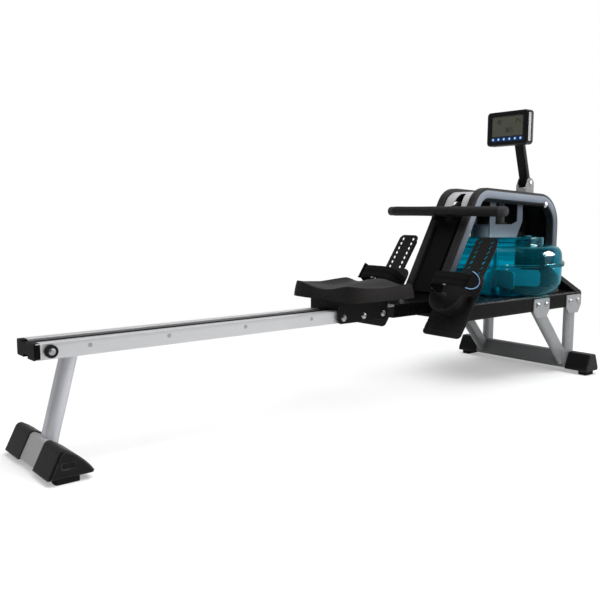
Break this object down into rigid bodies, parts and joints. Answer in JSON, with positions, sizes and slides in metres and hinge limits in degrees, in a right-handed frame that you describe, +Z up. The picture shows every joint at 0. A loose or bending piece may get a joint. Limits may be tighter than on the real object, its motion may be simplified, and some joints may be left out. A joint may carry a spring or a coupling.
{
  "type": "rowing machine",
  "caption": "Water rowing machine: rolling seat on a long rail, pull handle on a strap, clear water tank with impeller under an arch, footrests and tilting console.",
  "frame": {"origin": "on the floor under the middle of the overall length and width", "axes": "+X along the rail towards the tank, +Y to the rower's left, +Z up"},
  "size_m": [2.0804, 0.597, 0.984],
  "materials": {
    "rail_aluminium": "satin anodised extrusion",
    "black_plastic": "fine-grained black moulding",
    "dark_plastic": "dark moulded panel",
    "rubber": "matt black",
    "bolt_steel": "zinc-plated",
    "silver_paint": "satin silver-grey paint",
    "dark_paint": "satin dark grey paint",
    "black_paint": "semi-gloss black paint",
    "plate_steel": "silver paint",
    "face_paint": "metallic blue-grey facing",
    "silver_plastic": "satin silver moulding",
    "tank_clear": "clear teal moulding",
    "tank_cap": "dark teal moulding",
    "webbing": "woven black strap",
    "clevis_paint": "light grey paint",
    "seat_skin": "moulded satin skin",
    "roller_plastic": "black roller tyre",
    "handle_tube": "dark grey end",
    "grip_rubber": "matt foam grip",
    "wheel_plastic": "black nylon",
    "blade_plastic": "grey nylon paddle",
    "console_plastic": "satin black moulding",
    "display_window": "grey-green display window",
    "button_blue": "lit blue key"
  },
  "bodies": {
    "frame": {"seat_rail": "rail_aluminium", "rail_track_strip": "black_plastic", "rail_end_cap": "black_plastic", "rail_stops": "rubber", "frame_bolts": "bolt_steel", "rear_leg": "silver_paint", "rear_foot_bar": "silver_paint", "foot_caps": "black_plastic", "foot_pads": "rubber", "front_foot_bar": "dark_paint", "front_legs": "silver_paint", "leg_brackets": "plate_steel", "side_beams": "black_paint", "spine_beam": "black_paint", "front_crossbar": "black_paint", "tank_tray": "black_paint", "arch_panels": "dark_plastic", "arch_faces": "face_paint", "rear_shroud": "black_plastic", "top_cover": "silver_plastic", "front_cover": "black_plastic", "tank_lower": "tank_clear", "tank_upper": "tank_clear", "tank_gasket": "rubber", "tank_bolts": "bolt_steel", "tank_plug": "tank_cap", "shaft_bearings": "bolt_steel", "pulley_bracket": "plate_steel", "inner_strap": "webbing", "handle_rest": "black_plastic", "foot_boards": "black_plastic", "foot_brackets": "black_paint", "mast_clevis": "clevis_paint"},
    "seat": {"seat_pad": "seat_skin", "seat_carriage": "black_paint", "seat_hardware": "bolt_steel"},
    "front_rollers": {"front_rollers": "roller_plastic"},
    "rear_rollers": {"rear_rollers": "roller_plastic"},
    "handle": {"handle_bar": "handle_tube", "handle_grips": "grip_rubber", "strap_shackle": "black_plastic", "pull_strap": "webbing"},
    "idler": {"top_idler": "wheel_plastic"},
    "drum": {"drive_drum": "wheel_plastic"},
    "impeller": {"impeller": "blade_plastic", "impeller_shaft": "bolt_steel"},
    "left_cradle": {"heel_cradle_left": "black_plastic", "foot_strap_left": "webbing"},
    "right_cradle": {"heel_cradle_right": "black_plastic", "foot_strap_right": "webbing"},
    "console": {"console_mast": "black_paint", "console_front_shell": "console_plastic", "console_rear_shell": "console_plastic", "console_lens": "display_window"},
    "button_1": {"button_1": "button_blue"},
    "button_2": {"button_2": "button_blue"},
    "button_3": {"button_3": "button_blue"},
    "button_4": {"button_4": "button_blue"},
    "button_5": {"button_5": "button_blue"},
    "button_6": {"button_6": "button_blue"}
  },
  "joints": [
    {"name": "seat_slide", "type": "slide", "parent": "frame", "child": "seat", "axis": [1, 0, 0], "range_m": [-0.867, 0.06]},
    {"name": "rear_roller_spin", "type": "hinge", "parent": "seat", "child": "rear_rollers", "pos_m": [-0.07375, 0, 0.3188], "axis": [0, 1, 0], "continuous": true},
    {"name": "front_roller_spin", "type": "hinge", "parent": "seat", "child": "front_rollers", "pos_m": [0.07225, 0, 0.3188], "axis": [0, 1, 0], "continuous": true},
    {"name": "handle_pull", "type": "slide", "parent": "frame", "child": "handle", "axis": [-1, 0, 0], "range_m": [0, 1.1], "stiffness_N_per_m": 20, "springref_m": -0.5, "deforming": ["pull_strap"]},
    {"name": "idler_spin", "type": "hinge", "parent": "frame", "child": "idler", "pos_m": [0.54925, 0, 0.62], "axis": [0, 1, 0], "continuous": true},
    {"name": "drum_spin", "type": "hinge", "parent": "frame", "child": "drum", "pos_m": [0.75925, 0, 0.58], "axis": [0, 0, 1], "continuous": true},
    {"name": "impeller_spin", "type": "hinge", "parent": "frame", "child": "impeller", "pos_m": [0.75925, 0, 0.36], "axis": [0, 0, 1], "continuous": true},
    {"name": "left_cradle_slide", "type": "slide", "parent": "frame", "child": "left_cradle", "axis": [0.5736, 0, 0.8192], "range_m": [0, 0.104]},
    {"name": "right_cradle_slide", "type": "slide", "parent": "frame", "child": "right_cradle", "axis": [0.5736, 0, 0.8192], "range_m": [0, 0.104]},
    {"name": "console_tilt", "type": "hinge", "parent": "frame", "child": "console", "pos_m": [0.93225, 0, 0.722], "axis": [0, 1, 0], "range_deg": [-20, 20]},
    {"name": "button_1_press", "type": "slide", "parent": "console", "child": "button_1", "axis": [1, 0, 0], "range_m": [0, 0.0012], "stiffness_N_per_m": 800, "springref_m": -0.0005},
    {"name": "button_2_press", "type": "slide", "parent": "console", "child": "button_2", "axis": [1, 0, 0], "range_m": [0, 0.0012], "stiffness_N_per_m": 800, "springref_m": -0.0005},
    {"name": "button_3_press", "type": "slide", "parent": "console", "child": "button_3", "axis": [1, 0, 0], "range_m": [0, 0.0012], "stiffness_N_per_m": 800, "springref_m": -0.0005},
    {"name": "button_4_press", "type": "slide", "parent": "console", "child": "button_4", "axis": [1, 0, 0], "range_m": [0, 0.0012], "stiffness_N_per_m": 800, "springref_m": -0.0005},
    {"name": "button_5_press", "type": "slide", "parent": "console", "child": "button_5", "axis": [1, 0, 0], "range_m": [0, 0.0012], "stiffness_N_per_m": 800, "springref_m": -0.0005},
    {"name": "button_6_press", "type": "slide", "parent": "console", "child": "button_6", "axis": [1, 0, 0], "range_m": [0, 0.0012], "stiffness_N_per_m": 800, "springref_m": -0.0005}
  ],
  "couplings": [
    {"joint": "rear_roller_spin", "follows": "seat_slide", "rad_per_m": 80},
    {"joint": "front_roller_spin", "follows": "seat_slide", "rad_per_m": 80},
    {"joint": "idler_spin", "follows": "handle_pull", "rad_per_m": -46.948},
    {"joint": "drum_spin", "follows": "handle_pull", "rad_per_m": 34.13}
  ]
}
